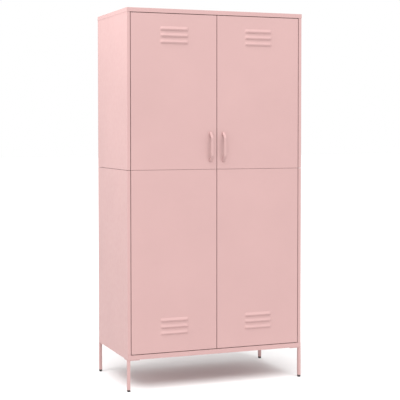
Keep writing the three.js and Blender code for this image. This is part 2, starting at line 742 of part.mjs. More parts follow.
// A shelf clip: a plate against the post, a tab under the shelf's edge, and a tongue that hooks
// through a slot of the post and drops behind it.
function shelfClip(side, y) {
  const plateX = POST_X - FIT;
  const wide = [y - CLIP_WIDTH / 2, y + CLIP_WIDTH / 2];
  const tongueHalf = SLOT_WIDTH / 2 - FIT;
  const tongueWide = [y - tongueHalf, y + tongueHalf];
  const behind = POST_X + SHEET + FIT;
  const acrossTongue = [side * (plateX - CLIP_SHEET), side * (behind + CLIP_SHEET)];
  return join([
    slab([side * plateX, side * (plateX - CLIP_SHEET)], wide, [CLIP_Z - CLIP_DROP, CLIP_Z]),
    slab([side * plateX, side * (plateX - CLIP_REACH)], wide, [CLIP_Z - CLIP_SHEET, CLIP_Z]),
    slab(acrossTongue, tongueWide, [CLIP_Z - 4, CLIP_Z - 2]),
    slab([side * behind, side * (behind + CLIP_SHEET)], tongueWide, [CLIP_Z - CLIP_DROP, CLIP_Z - 2]),
  ]);
}

for (const [label, side] of SIDES) {
  addPiece(`${label}_shelf_clip_front`, shelfClip(side, FRONT_CLIP_Y), zincSteel());
  addPiece(`${label}_shelf_clip_rear`, shelfClip(side, REAR_CLIP_Y), zincSteel());
}

const clothesRail = cut(
  rod(RAIL_RADIUS, [-RAIL_HALF_LENGTH, RAIL_Y, RAIL_Z], [RAIL_HALF_LENGTH, RAIL_Y, RAIL_Z], 32),
  [rod(RAIL_RADIUS - RAIL_WALL, [-HALF, RAIL_Y, RAIL_Z], [HALF, RAIL_Y, RAIL_Z], 32)],
);
addPiece("clothes_rail", clothesRail, chromedSteel());

// A bracket that hangs from the shelf and holds one end of the clothes rail.
function railBracket(side) {
  const seat = SHELF_TOP - SHEET - FIT;
  const x = side * RAIL_BRACKET_X;
  const plane = [x, x - side * RAIL_BRACKET_SHEET];
  const wide = [RAIL_Y - RAIL_BRACKET_WIDTH / 2, RAIL_Y + RAIL_BRACKET_WIDTH / 2];
  const body = join([
    slab([x, x - side * RAIL_BRACKET_WIDTH], wide, [seat - RAIL_BRACKET_SHEET, seat]),
    slab(plane, wide, [RAIL_Z, seat]),
    rod(RAIL_BRACKET_WIDTH / 2, [plane[0], RAIL_Y, RAIL_Z], [plane[1], RAIL_Y, RAIL_Z], 32),
  ]);
  return cut(body, [rod(RAIL_RADIUS + FIT, [x - 9, RAIL_Y, RAIL_Z], [x + 9, RAIL_Y, RAIL_Z], 32)]);
}

for (const [label, side] of SIDES) {
  addPiece(`${label}_rail_bracket`, railBracket(side), zincSteel());
}

export default cabinet;
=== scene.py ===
"""A two-door powder-coated steel locker cabinet on tube legs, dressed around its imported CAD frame.

Every length is in metres, in the frame's own axes: +Z up, doors facing -Y.
"""

import json
import math

import bmesh
import bpy
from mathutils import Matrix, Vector


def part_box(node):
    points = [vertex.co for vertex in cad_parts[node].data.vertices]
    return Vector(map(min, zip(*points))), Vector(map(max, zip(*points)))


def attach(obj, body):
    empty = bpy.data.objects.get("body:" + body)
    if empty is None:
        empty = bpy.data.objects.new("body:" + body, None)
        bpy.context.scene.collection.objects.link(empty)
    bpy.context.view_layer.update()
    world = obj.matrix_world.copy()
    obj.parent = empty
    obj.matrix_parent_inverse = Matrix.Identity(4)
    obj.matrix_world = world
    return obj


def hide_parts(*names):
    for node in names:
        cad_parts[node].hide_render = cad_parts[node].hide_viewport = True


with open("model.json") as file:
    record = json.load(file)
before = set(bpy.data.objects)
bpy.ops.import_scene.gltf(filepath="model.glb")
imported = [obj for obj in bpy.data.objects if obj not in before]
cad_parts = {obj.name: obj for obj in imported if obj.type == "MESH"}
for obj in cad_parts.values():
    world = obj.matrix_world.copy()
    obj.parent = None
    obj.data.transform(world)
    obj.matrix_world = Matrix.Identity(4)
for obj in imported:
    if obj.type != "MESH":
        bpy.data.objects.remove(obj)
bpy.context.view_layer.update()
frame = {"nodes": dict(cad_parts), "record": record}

MM = 0.001
SIDES = {"left": -1, "right": 1}
ENDS = {"front": 1, "rear": -1}  # the direction, along Y, from that end into the cabinet

# ------------------------------------------------------------------ sizes of the sheet work

SHEET = 0.8 * MM
FIT = 0.3 * MM
NEST = SHEET + FIT  # offset of one sheet tucked inside another
BEND = 1.2 * MM  # outer radius of the folds
ROLL = 1.3 * MM  # radius on which the panels turn in at the seam
BEND_STEPS = 4
POST_DEPTH = 42 * MM
POST_HEM = 10 * MM
SEAM_FLANGE = 13 * MM
SLOT_WIDTH = 8.6 * MM
SLOT_HEIGHT = 9.5 * MM
SLOT_PITCH = 60 * MM
SLOT_STEPS = range(-2, 3)
PIN_RADIUS = 2.5 * MM
BUSH_RADIUS = 4 * MM
BUSH_FIT = 0.15 * MM
STUD_RADIUS = 3 * MM
SHARP = math.radians(40)  # edges that turn by more than this stay crisp
CLOSE = 0.02 * MM  # how near two places are to count as the same
SEAM_EASE = 0.2 * MM  # how far the side panels' turned-in edges stop short of the seam
RAIL_LIP = 36 * MM
RAIL_HEM = 10 * MM
STILE = 16 * MM
DOOR_LIP = 14 * MM
LOUVRE_LENGTH = 148 * MM
LOUVRE_TOP = 12.5 * MM  # from the crest up to the flat sheet
LOUVRE_UNDERSIDE = 8.5 * MM  # from the crest down to the free edge
LOUVRE_CREST = 2 * MM  # from the CAD lip up to the crest
LOUVRE_REACH = 6 * MM
LOUVRE_MOUTH = 1.2 * MM  # how far the free edge stands off the sheet
LOUVRE_TAPER = 14 * MM
LOUVRE_COLUMNS = 52
LOUVRE_STEPS = (9, 8)  # above and below the crest

# ------------------------------------------------------------------ places taken from the frame

body_low, body_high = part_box("top_panel")
front_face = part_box("left_side_upper")[0].y  # the plane of the stiles and the doors
post_x = body_high.x - STILE  # inner face of a corner post


# ------------------------------------------------------------------ materials


class Shader:
    """A node material with a Principled surface, whose detail is laid out in object space."""

    def __init__(self, name, metallic=0.0, **sockets):
        self.material = bpy.data.materials.new(name)
        self.material.use_nodes = True
        tree = self.material.node_tree
        self.nodes, self.links = tree.nodes, tree.links
        self.surface = self.nodes["Principled BSDF"]
        self.surface.inputs["Metallic"].default_value = metallic
        for socket, value in sockets.items():
            self.surface.inputs[socket.replace("_", " ")].default_value = value
        self.place = self.nodes.new("ShaderNodeTexCoord").outputs["Object"]

    def noise(self, scale, detail=2.0, stretch=(1, 1, 1)):
        mapping = self.nodes.new("ShaderNodeMapping")
        mapping.inputs["Scale"].default_value = stretch
        texture = self.nodes.new("ShaderNodeTexNoise")
        texture.inputs["Scale"].default_value = scale
        texture.inputs["Detail"].default_value = detail
        self.links.new(self.place, mapping.inputs["Vector"])
        self.links.new(mapping.outputs["Vector"], texture.inputs["Vector"])
        return texture.outputs["Fac"]

    def cells(self, scale):
        texture = self.nodes.new("ShaderNodeTexVoronoi")
        texture.inputs["Scale"].default_value = scale
        self.links.new(self.place, texture.inputs["Vector"])
        return texture.outputs["Distance"]

    def colours(self, value, low, high, span=(0.3, 0.7)):
        ramp = self.nodes.new("ShaderNodeValToRGB")
        for stop, position, colour in zip(ramp.color_ramp.elements, span, (low, high)):
            stop.position = position
            stop.color = (*colour, 1)
        self.links.new(value, ramp.inputs["Fac"])
        self.links.new(ramp.outputs["Color"], self.surface.inputs["Base Color"])

    def roughness(self, value, low, high):
        spread = self.nodes.new("ShaderNodeMapRange")
        spread.inputs["From Min"].default_value = 0.3
        spread.inputs["From Max"].default_value = 0.7
        spread.inputs["To Min"].default_value = low
        spread.inputs["To Max"].default_value = high
        self.links.new(value, spread.inputs["Value"])
        self.links.new(spread.outputs["Result"], self.surface.inputs["Roughness"])

    def relief(self, value, height, strength=1.0):
        bump = self.nodes.new("ShaderNodeBump")
        bump.inputs["Strength"].default_value = strength
        bump.inputs["Distance"].default_value = height
        self.links.new(value, bump.inputs["Height"])
        joined = self.surface.inputs["Normal"].links
        if joined:
            self.links.new(joined[0].from_socket, bump.inputs["Normal"])
        self.links.new(bump.outputs["Normal"], self.surface.inputs["Normal"])


def tint(colour, factor):
    return tuple(min(1.0, channel * factor) for channel in colour)


def powder_coat(name, colour):
    """Satin powder coat: a fine orange peel, with a broad drift in tone and gloss."""
    shader = Shader(name, Specular_IOR_Level=0.25)
    shader.colours(shader.noise(3.5, 4), tint(colour, 0.975), tint(colour, 1.02))
    shader.roughness(shader.noise(45, 3), 0.46, 0.58)
    shader.relief(shader.noise(420, 3), 0.08 * MM, 0.6)
    shader.relief(shader.noise(2600, 2), 0.015 * MM, 0.6)
    return shader.material


def zinc_plate(name):
    shader = Shader(name, metallic=1.0)
    shader.colours(shader.noise(260, 4), (0.50, 0.52, 0.55), (0.68, 0.69, 0.69))
    shader.roughness(shader.noise(900, 3), 0.24, 0.4)
    shader.relief(shader.noise(1800, 3), 0.01 * MM, 0.4)
    return shader.material


def chrome_plate(name):
    shader = Shader(name, metallic=1.0)
    shader.colours(shader.noise(30, 2), (0.76, 0.77, 0.79), (0.84, 0.85, 0.86))
    shader.roughness(shader.noise(140, 4, stretch=(0.15, 1, 1)), 0.06, 0.13)
    shader.relief(shader.noise(900, 2, stretch=(0.1, 1, 1)), 0.003 * MM, 0.4)
    return shader.material


def moulded(name, low, high, gloss, grain, **sockets):
    """Moulded plastic or rubber with a spark-eroded grain."""
    shader = Shader(name, **sockets)
    shader.colours(shader.noise(120, 3), low, high)
    shader.roughness(shader.noise(500, 2), *gloss)
    shader.relief(shader.cells(grain), 0.03 * MM, 0.5)
    return shader.material


PINK = (0.475, 0.302, 0.293)
MATERIALS = {
    "painted_steel": powder_coat("painted_steel_coat", PINK),
    "zinc_steel": zinc_plate("zinc_steel_plate"),
    "chromed_steel": chrome_plate("chromed_steel_plate"),
    "white_nylon": moulded(
        "white_nylon_moulding", (0.74, 0.72, 0.66), (0.82, 0.80, 0.75), (0.38, 0.5), 900,
        Subsurface_Weight=0.08,
    ),
    "black_plastic": moulded(
        "black_plastic_moulding", (0.026, 0.02, 0.02), (0.042, 0.033, 0.032), (0.5, 0.65), 1400
    ),
    "grey_rubber": moulded(
        "grey_rubber_moulding", (0.09, 0.09, 0.092), (0.13, 0.13, 0.134), (0.75, 0.9), 1100
    ),
}


# ------------------------------------------------------------------ making pieces


def thickened(surface, name):
    """A mesh of sheet metal, grown inwards from the surface of its outer side."""
    sheet = bpy.data.objects.new("sheet", surface)
    bpy.context.scene.collection.objects.link(sheet)
    thickness = sheet.modifiers.new("thickness", "SOLIDIFY")
    thickness.thickness = SHEET
    thickness.offset = -1
    thickness.use_even_offset = True
    evaluated = sheet.evaluated_get(bpy.context.evaluated_depsgraph_get())
    mesh = bpy.data.meshes.new_from_object(evaluated)
    bpy.data.objects.remove(sheet)
    bpy.data.meshes.remove(surface)
    mesh.name = name
    return mesh


def add_piece(name, bm, body, slot, replaces, sheet=False):
    """A finished mesh as a piece of the object.

    A sheet is a surface that still needs its thickness.
    """
    mesh = bpy.data.meshes.new(name)
    bm.to_mesh(mesh)
    bm.free()
    if sheet:
        mesh = thickened(mesh, name)
    mesh.shade_smooth()
    mesh.set_sharp_from_angle(angle=SHARP)
    mesh.materials.append(MATERIALS[slot])
    piece = bpy.data.objects.new(name, mesh)
    bpy.context.scene.collection.objects.link(piece)
    flats = piece.modifiers.new("flats", "WEIGHTED_NORMAL")
    flats.keep_sharp = True
    flats.weight = 100
    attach(piece, body)
    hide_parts(*replaces)
    return piece


def centre_of(node):
    low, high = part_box(node)
    return (low + high) / 2


def round_off(bm, edges, radius, steps=BEND_STEPS):
    bmesh.ops.bevel(bm, geom=edges, offset=radius, segments=steps, profile=0.5, affect="EDGES")


def face_outwards(bm, outwards):
    """Turns a sheet's faces one way, so that its largest face looks along "outwards"."""
    bmesh.ops.recalc_face_normals(bm, faces=bm.faces)
    largest = max(bm.faces, key=lambda face: face.calc_area())
    if largest.normal.dot(Vector(outwards)) < 0:
        bmesh.ops.reverse_faces(bm, faces=bm.faces)


def boundary_edges(bm, test):
    return [e for e in bm.edges if e.is_boundary and all(test(v.co) for v in e.verts)]


def within(value, ranges):
    return any(low < value < high for low, high in ranges)


def fold(bm, edges, step):
    """Folds a flange off a sheet's free edges and returns the flange's own free edges."""
    made = bmesh.ops.extrude_edge_only(bm, edges=edges)["geom"]
    moved = {item for item in made if isinstance(item, bmesh.types.BMVert)}
    bmesh.ops.translate(bm, verts=list(moved), vec=Vector(step))
    return [
        item
        for item in made
        if isinstance(item, bmesh.types.BMEdge) and all(v in moved for v in item.verts)
    ]


def open_box(low, high, opening, radius):
    """A box without the side that faces "opening", its other edges rounded."""
    bm = bmesh.new()
    bmesh.ops.create_cube(bm, size=1)
    size = high - low
    for vert in bm.verts:
        vert.co = Vector(low[i] + (vert.co[i] + 0.5) * size[i] for i in range(3))
    bm.normal_update()
    lid = max(bm.faces, key=lambda face: face.normal.dot(Vector(opening)))
    bmesh.ops.delete(bm, geom=[lid], context="FACES_ONLY")
    folds = [edge for edge in bm.edges if len(edge.link_faces) == 2]
    round_off(bm, folds, radius)
    return bm


def rounded_path(corners, radius):
    """An open path through 2-D corners, turned on an arc at each inner corner.

    Each point comes with the unit vector that leads from it into the bend's inside.
    """
    corners = [Vector(corner) for corner in corners]
    runs = [(b - a).normalized() for a, b in zip(corners, corners[1:])]
    inwards = [Vector((-run.y, run.x)) for run in runs]
    path = [(corners[0], inwards[0])]
    for corner, run, following, inward, next_inward in zip(
        corners[1:], runs, runs[1:], inwards, inwards[1:]
    ):
        turn = math.copysign(1, run.x * following.y - run.y * following.x)
        centre = corner - run * radius + inward * turn * radius
        for step in range(BEND_STEPS + 1):
            angle = math.pi / 2 * step / BEND_STEPS
            spoke = run * math.sin(angle) - inward * turn * math.cos(angle)
            normal = (inward * math.cos(angle) + next_inward * math.sin(angle)).normalized()
            path.append((centre + spoke * radius, normal))
    path.append((corners[-1], inwards[-1]))
    return path


def loft(bm, rings, loop=False):
    """Skins closed rings of points one after another, with a cap on each end unless they loop."""
    rows = [[bm.verts.new(point) for point in ring] for ring in rings]
    following = rows[1:] + rows[:1] if loop else rows[1:]
    for row, after in zip(rows, following):
        for i, vert in enumerate(row):
            j = (i + 1) % len(row)
            bm.faces.new((vert, row[j], after[j], after[i]))
    if not loop:
        bm.faces.new(rows[0][::-1])
        bm.faces.new(rows[-1])
    bmesh.ops.recalc_face_normals(bm, faces=bm.faces)


def circle(centre, radius, axis, sides=40):
    across = axis.orthogonal().normalized()
    along = axis.cross(across)
    angles = [2 * math.pi * i / sides for i in range(sides)]
    return [centre + (across * math.cos(a) + along * math.sin(a)) * radius for a in angles]


def turned(bm, start, axis, profile, loop=False, sides=40):
    """A solid of revolution: the profile's points are [radius, distance along the axis]."""
    axis = Vector(axis)
    rings = [circle(start + axis * height, radius, axis, sides) for radius, height in profile]
    loft(bm, rings, loop)


def pierce(bm, centres, radius):
    """Cuts upright round holes of one radius in the flat face that their centres lie on."""
    bm.normal_update()
    level = [f for f in bm.faces if bmesh.geometry.intersect_face_point(f, centres[0])]
    face = min(level, key=lambda f: abs((f.calc_center_median() - centres[0]).dot(f.normal)))
    outline = list(face.edges)
    upright = Vector((0, 0, 1))
    bmesh.ops.delete(bm, geom=[face], context="FACES_ONLY")
    for centre in centres:
        rim = [bm.verts.new(point) for point in circle(centre, radius, upright)]
        outline += [bm.edges.new(pair) for pair in zip(rim, rim[1:] + rim[:1])]
    bmesh.ops.triangle_fill(bm, use_beauty=True, edges=outline, normal=upright)


def hinge_places(z, end):
    """Where the hinge axes at one end of the doors pass through a height."""
    pins = [centre_of(f"{label}_hinge_pin_{end}") for label in SIDES]
    return [Vector((pin.x, pin.y, z)) for pin in pins]


def rounded_rectangle(half_x, half_y, radius, steps=4):
    """The points of an upright rectangle with round corners, anticlockwise."""
    points = []
    for quarter, (sx, sy) in enumerate([(1, 1), (-1, 1), (-1, -1), (1, -1)]):
        for step in range(steps + 1):
            angle = math.pi / 2 * (quarter + step / steps)
            x = sx * (half_x - radius) + radius * math.cos(angle)
            y = sy * (half_y - radius) + radius * math.sin(angle)
            points.append(Vector((x, y)))
    return points


def folded_strip(node, corners, side_edge=0.0, holes=()):
    """A sheet folded along X through corners given as [y, z], as wide as its CAD piece.

    Its upper face may have an edge turned down at each end, and holes for the hinge pins.
    """
    low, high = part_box(node)
    path = [point for point, _ in rounded_path(corners, BEND)]
    bm = bmesh.new()
    grid = [[bm.verts.new((x, p.x, p.y)) for p in path] for x in (low.x, high.x)]
    for i in range(len(path) - 1):
        bm.faces.new((grid[0][i], grid[0][i + 1], grid[1][i + 1], grid[1][i]))
    if side_edge:
        ends = boundary_edges(bm, lambda p: p.z > high.z - CLOSE)
        fold(bm, ends, (0, 0, -side_edge))
    if holes:
        pierce(bm, holes, PIN_RADIUS + FIT)
    face_outwards(bm, (0, 0, 1))
    add_piece(f"{node}_folded", bm, "cabinet", "painted_steel", [node], sheet=True)


# ------------------------------------------------------------------ top and bottom panels


def top_tray():
    """The top panel, with a rail on every edge. The front rail folds back over the doorway."""
    low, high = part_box("top_panel")
    bm = open_box(low, high, (0, 0, -1), BEND)
    lip_half = post_x - FIT
    for side in SIDES.values():
        everything = [*bm.verts, *bm.edges, *bm.faces]
        cut_at = Vector((side * lip_half, 0, 0))
        bmesh.ops.bisect_plane(bm, geom=everything, plane_co=cut_at, plane_no=(1, 0, 0))
    rim = boundary_edges(bm, lambda p: p.y < low.y + CLOSE and abs(p.x) < lip_half + CLOSE)
    rim = fold(bm, rim, (0, RAIL_LIP - SHEET / 2, 0))
    fold(bm, rim, (0, 0, RAIL_HEM))
    pierce(bm, hinge_places(low.z, "top"), PIN_RADIUS + FIT)
    face_outwards(bm, (0, 0, 1))
    add_piece("top_panel_tray", bm, "cabinet", "painted_steel", ["top_panel"], sheet=True)


def bottom_tray():
    """The bottom panel. Its side rails stand inside the side panels, between the posts."""
    low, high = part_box("bottom_panel")
    corners = [(low.y, high.z), (low.y, low.z), (high.y, low.z), (high.y, high.z)]
    path = [point for point, _ in rounded_path(corners, BEND)]
    plate = len(path) // 2 - 1
    rail_ends = (low.y + 2 * NEST, high.y - 2 * NEST)
    path[plate + 1 : plate + 1] = [Vector((y, low.z)) for y in rail_ends]
    plate_half = high.x - NEST
    columns = (low.x, -plate_half, plate_half, high.x)
    bm = bmesh.new()
    grid = [[bm.verts.new((x, p.x, p.y)) for p in path] for x in columns]
    for column in range(len(columns) - 1):
        for i in range(len(path) - 1):
            beside_plate = column != 1 and plate <= i <= plate + 2
            if not beside_plate:
                row, after = grid[column], grid[column + 1]
                bm.faces.new((row[i], row[i + 1], after[i + 1], after[i]))
    unused = [vert for vert in bm.verts if not vert.link_faces]
    bmesh.ops.delete(bm, geom=unused, context="VERTS")
    folds = [bm.edges.get((row[plate + 1], row[plate + 2])) for row in grid[1:3]]
    fold(bm, folds, (0, 0, high.z - low.z))
    round_off(bm, folds, BEND)
    nuts = [centre_of(f"{place}_{label}_leg_nut") for place in ENDS for label in SIDES]
    studs = [Vector((nut.x, nut.y, low.z)) for nut in nuts]
    pierce(bm, studs, STUD_RADIUS + FIT)
    face_outwards(bm, (0, 0, -1))
    add_piece("bottom_panel_tray", bm, "cabinet", "painted_steel", ["bottom_panel"], sheet=True)


def hinge_rail():
    """The channel inside the bottom panel's front rail, which carries the lower hinge pins."""
    node = "bottom_hinge_rail"
    low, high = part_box(node)
    hem = high.z - RAIL_HEM
    corners = [(low.y, low.z), (low.y, high.z), (high.y, high.z), (high.y, hem)]
    folded_strip(node, corners, holes=hinge_places(high.z, "bottom"))


# ------------------------------------------------------------------ side panels


def clip_slots(label):
    """The limits, along Y and along Z, of the slots that the posts have for shelf clips."""
    clips = [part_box(f"{label}_shelf_clip_{place}") for place in ENDS]
    middles = [(low.y + high.y) / 2 for low, high in clips]
    along = [(middle - SLOT_WIDTH / 2, middle + SLOT_WIDTH / 2) for middle in middles]
    tops = [clips[0][1].z + step * SLOT_PITCH for step in SLOT_STEPS]
    return along, [(top - SLOT_HEIGHT, top) for top in tops]


def add_stops(path, x, stops):
    """Adds points at the given Y to the straight runs that a path has at X."""
    for stop in stops:
        for i, ((start, inwards), (end, _)) in enumerate(zip(path, path[1:])):
            on_line = abs(start.x - x) < CLOSE and abs(end.x - x) < CLOSE
            if on_line and min(start.y, end.y) < stop < max(start.y, end.y):
                path.insert(i + 1, (Vector((x, stop)), inwards))
                break


def side_panel(label, half):
    """A side panel and its two corner posts in one folded sheet, turned in at the seam.

    The wall of a lower panel comes down past its posts, beside the bottom panel.
    """
    node = f"{label}_side_{half}"
    side = SIDES[label]
    low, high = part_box(node)
    outer = max(abs(low.x), abs(high.x))
    front_deep = low.y + POST_DEPTH
    rear_deep = high.y - POST_DEPTH
    hem_x = post_x + POST_HEM
    corners = [
        (hem_x, front_deep), (post_x, front_deep), (post_x, low.y), (outer, low.y),
        (outer, high.y), (post_x, high.y), (post_x, rear_deep), (hem_x, rear_deep),
    ]
    path = rounded_path(corners, BEND)
    add_stops(path, outer, (front_deep + FIT, rear_deep - FIT))
    slots_along, slots_up = clip_slots(label) if half == "upper" else ([], [])
    add_stops(path, post_x, [y for limits in slots_along for y in limits])
    seam, away = (low.z, 1) if half == "upper" else (high.z, -1)
    plain = high.z if half == "upper" else low.z + NEST
    seam += away * SEAM_EASE
    slot_rows = sorted((z for limits in slots_up for z in limits), reverse=True)
    rows = [(0, z) for z in (plain, *slot_rows)]
    for step in range(BEND_STEPS + 1):
        angle = math.pi / 2 * step / BEND_STEPS
        inset = ROLL * (1 - math.cos(angle))
        rows.append((inset, seam + away * ROLL * (1 - math.sin(angle))))
    bm = bmesh.new()
    grid = []
    for inset, z in rows:
        points = [point + inwards * inset for point, inwards in path]
        grid.append([bm.verts.new((side * p.x, p.y, z)) for p in points])
    for row, after in zip(grid, grid[1:]):
        for i in range(len(path) - 1):
            bm.faces.new((row[i], row[i + 1], after[i + 1], after[i]))
    slots = []
    for face in bm.faces:
        centre = face.calc_center_median()
        on_post = abs(abs(centre.x) - post_x) < CLOSE
        if on_post and within(centre.y, slots_along) and within(centre.z, slots_up):
            slots.append(face)
    bmesh.ops.delete(bm, geom=slots, context="FACES_ONLY")
    flange = boundary_edges(
        bm, lambda p: abs(p.z - seam) < CLOSE and front_deep + CLOSE < p.y < rear_deep - CLOSE
    )
    fold(bm, flange, (-side * (SEAM_FLANGE - ROLL), 0, 0))
    if half == "lower":
        foot = boundary_edges(
            bm, lambda p: abs(p.z - plain) < CLOSE and abs(p.x) > outer - CLOSE
        )
        fold(bm, foot, (0, 0, -NEST))
    face_outwards(bm, (side, 0, 0))
    return add_piece(f"{node}_panel", bm, "cabinet", "painted_steel", [node], sheet=True)


# ------------------------------------------------------------------ doors


def louvre_lips(node):
    """The heights of the louvres' lips.

    They are the only points of the CAD door that are as far forward as its box.
    """
    mesh = frame["nodes"][node].data
    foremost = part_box(node)[0].y + 0.1 * MM
    return sorted({round(v.co.z, 4) for v in mesh.vertices if v.co.y < foremost})


def ease(t):
    """A smooth step from 0 to 1."""
    t = min(1.0, max(0.0, t))
    return t * t * (3 - 2 * t)


def louvre_profile(above, below):
    """The hood's section as [height from the crest, distance off the sheet], from its root down."""
    section = []
    for step in range(above + 1):
        t = step / above
        section.append((LOUVRE_TOP * (1 - t), LOUVRE_REACH * (0.35 * ease(t) + 0.65 * t)))
    for step in range(1, below + 1):
        t = step / below
        out = LOUVRE_REACH + (LOUVRE_MOUTH - LOUVRE_REACH) * (0.5 * ease(t) + 0.5 * t * t)
        section.append((-LOUVRE_UNDERSIDE * t, out))
    return section


def louvre(bm, centre_x, lip):
    """Presses one louvre's hood and returns the edges of the hole that it fills in the sheet."""
    columns = LOUVRE_COLUMNS
    half = LOUVRE_LENGTH / 2
    grid = []
    for height, out in louvre_profile(*LOUVRE_STEPS):
        line = []
        for i in range(columns + 1):
            x = -half * math.cos(math.pi * i / columns)
            swell = ease((half - abs(x)) / LOUVRE_TAPER)
            spot = (centre_x + x, front_face - out * swell, lip + LOUVRE_CREST + height)
            line.append(bm.verts.new(spot))
        grid.append(line)
    for upper, lower in zip(grid, grid[1:]):
        for i in range(columns):
            bm.faces.new((upper[i], upper[i + 1], lower[i + 1], lower[i]))
    rows = len(grid) - 1
    ends = [(grid[j][i], grid[j + 1][i]) for j in range(rows) for i in (0, columns)]
    top = list(zip(grid[0], grid[0][1:]))
    slit = bm.edges.new((grid[-1][0], grid[-1][-1]))
    return [bm.edges.get(pair) for pair in ends + top] + [slit]


def door_panel(label, half):
    node = f"{label}_door_{half}"
    low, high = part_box(node)
    low.y = front_face
    bm = open_box(low, high, (0, 1, 0), BEND)
    face = min(bm.faces, key=lambda f: f.normal.y * f.calc_area())
    outline = list(face.edges)
    bmesh.ops.delete(bm, geom=[face], context="FACES_ONLY")
    centre_x = (low.x + high.x) / 2
    for lip in louvre_lips(node):
        outline += louvre(bm, centre_x, lip)
    bmesh.ops.triangle_fill(bm, use_beauty=True, edges=outline, normal=(0, -1, 0))
    for edge_x, inwards in ((low.x, 1), (high.x, -1)):
        rim = boundary_edges(bm, lambda p: abs(p.x - edge_x) < CLOSE and p.y > high.y - CLOSE)
        fold(bm, rim, (inwards * DOOR_LIP, 0, 0))
    end, z = ("top", high.z) if half == "upper" else ("bottom", low.z)
    axis = [place for place in hinge_places(z, end) if low.x < place.x < high.x]
    pierce(bm, axis, BUSH_RADIUS + BUSH_FIT)
    face_outwards(bm, (0, -1, 0))
    add_piece(f"{node}_panel", bm, f"{label}_door", "painted_steel", [node], sheet=True)


# ------------------------------------------------------------------ handles

HANDLE_THICKNESS = 4 * MM
HANDLE_TIP = 2.8 * MM
HANDLE_FOOT = 12 * MM
HANDLE_LEG = 27 * MM
HANDLE_BEND = 7 * MM
HANDLE_EDGE = 1.1 * MM
HANDLE_EDGE_STEPS = 3
HANDLE_BEND_STEPS = 8


def bent(before, corner, after, reach, steps=HANDLE_BEND_STEPS):
    """Points on the curve that rounds off a corner, starting and ending at "reach" from it."""
    start = corner + (before - corner).normalized() * reach
    finish = corner + (after - corner).normalized() * reach
    ts = [step / steps for step in range(steps + 1)]
    return [start * (1 - t) ** 2 + corner * 2 * t * (1 - t) + finish * t * t for t in ts]


def bow(end, grip):
    """The side outline of a bow handle as [along the door, out from it], with rounded bends."""
    shoulder = end - HANDLE_LEG
    outer = [(-end, 0), (-end, HANDLE_TIP), (-shoulder, grip)]
    inside = grip - HANDLE_THICKNESS
    inner = [(-shoulder + HANDLE_THICKNESS / 2, inside), (-end + HANDLE_FOOT, 0)]
    half = [Vector(corner) for corner in outer]
    root = [Vector(corner) for corner in inner]
    mirror = Vector((-1, 1))
    far_shoulder = half[2] * mirror
    far_inner = root[0] * mirror
    left = [half[0], *bent(half[0], half[1], half[2], HANDLE_EDGE, HANDLE_EDGE_STEPS)]
    left += bent(half[1], half[2], far_shoulder, HANDLE_BEND)
    under = bent(root[1], root[0], far_inner, HANDLE_BEND)
    outline = left + [point * mirror for point in reversed(left)]
    outline += [root[1] * mirror] + [point * mirror for point in under]
    return outline + [*reversed(under), root[1]]


def handle(label):
    """A bow handle of flat bar with eased edges."""
    node = f"{label}_handle"
    low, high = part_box(node)
    middle = (low + high) / 2
    outline = bow((high.z - low.z) / 2, high.y - low.y)
    bm = bmesh.new()
    spots = [Vector((low.x, high.y - p.y, middle.z + p.x)) for p in outline]
    side = bm.faces.new([bm.verts.new(spot) for spot in spots])
    made = bmesh.ops.extrude_face_region(bm, geom=[side])["geom"]
    moved = [item for item in made if isinstance(item, bmesh.types.BMVert)]
    bmesh.ops.translate(bm, verts=moved, vec=(high.x - low.x, 0, 0))
    bmesh.ops.recalc_face_normals(bm, faces=bm.faces)
    rims = [edge for edge in bm.edges if abs(edge.verts[0].co.x - edge.verts[1].co.x) < 0.1 * MM]
    round_off(bm, rims, HANDLE_EDGE, HANDLE_EDGE_STEPS)
    add_piece(f"{label}_bow_handle", bm, f"{label}_door", "painted_steel", [node])


# ------------------------------------------------------------------ legs and glides

LEG = Vector((13 * MM, 18 * MM))
LEG_WALL = 1.5 * MM
LEG_CORNER = 2.2 * MM
LEG_PLATE = 60 * MM
LEG_PLATE_THICKNESS = 2.5 * MM
LEG_PLATE_CORNER = 5 * MM
WELD = 1.8 * MM
STUD_INSET = 38 * MM
THREAD_SIDES = 24
THREAD_PITCH = 1 * MM
THREAD_DEPTH = 0.35 * MM


def flat_ring(centre, outline, z):
    return [Vector((centre.x + p.x, centre.y + p.y, z)) for p in outline]


def threaded(radius, length):
    """The profile of a threaded shank, drawn as close rings of the thread's pitch."""
    profile = []
    for turn in range(round(length / THREAD_PITCH)):
        profile.append((radius - THREAD_DEPTH, turn * THREAD_PITCH))
        profile.append((radius, (turn + 0.5) * THREAD_PITCH))
    return profile + [(radius - THREAD_DEPTH, length - 0.4 * MM), (radius * 0.7, length)]


